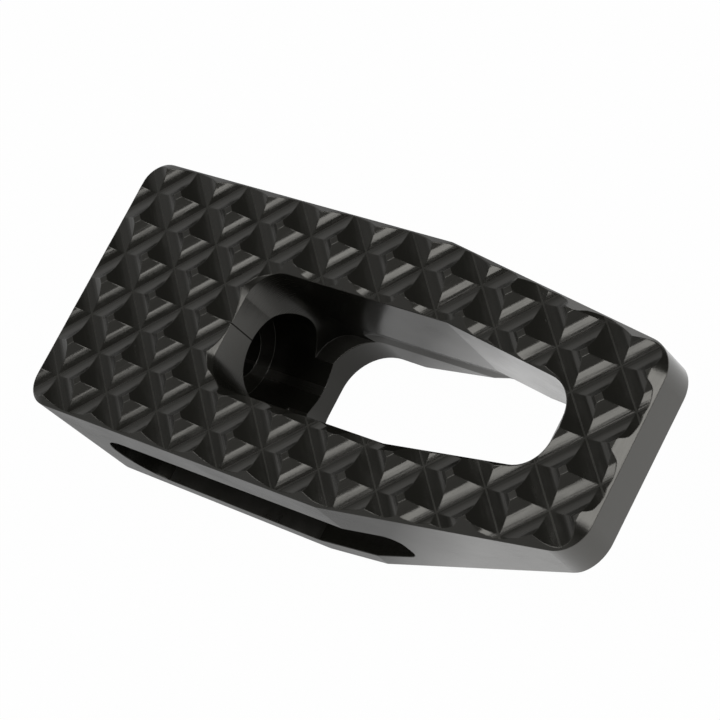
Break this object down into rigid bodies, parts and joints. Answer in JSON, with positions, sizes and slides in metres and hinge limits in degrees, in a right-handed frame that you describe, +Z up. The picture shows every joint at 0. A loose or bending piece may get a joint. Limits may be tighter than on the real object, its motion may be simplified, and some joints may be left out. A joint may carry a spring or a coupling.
{
  "type": "brake pedal foot pad",
  "caption": "Wedge-shaped brake pedal foot pad with a diamond-grooved tread, a long open slot, recessed sides and a counterbored bolt seat in its thick end.",
  "frame": {"origin": "on the bolt's axis, at the mouth of the bolt hole in the bolted end face", "axes": "+X along the pad from the bolted end to the tip, +Y across it, +Z up out of the tread"},
  "size_m": [0.0954, 0.0394, 0.0253],
  "materials": {
    "anodised": "semi-gloss black anodised over a fine milled surface"
  },
  "bodies": {
    "root": {"pedal_pad": "anodised"}
  },
  "joints": []
}
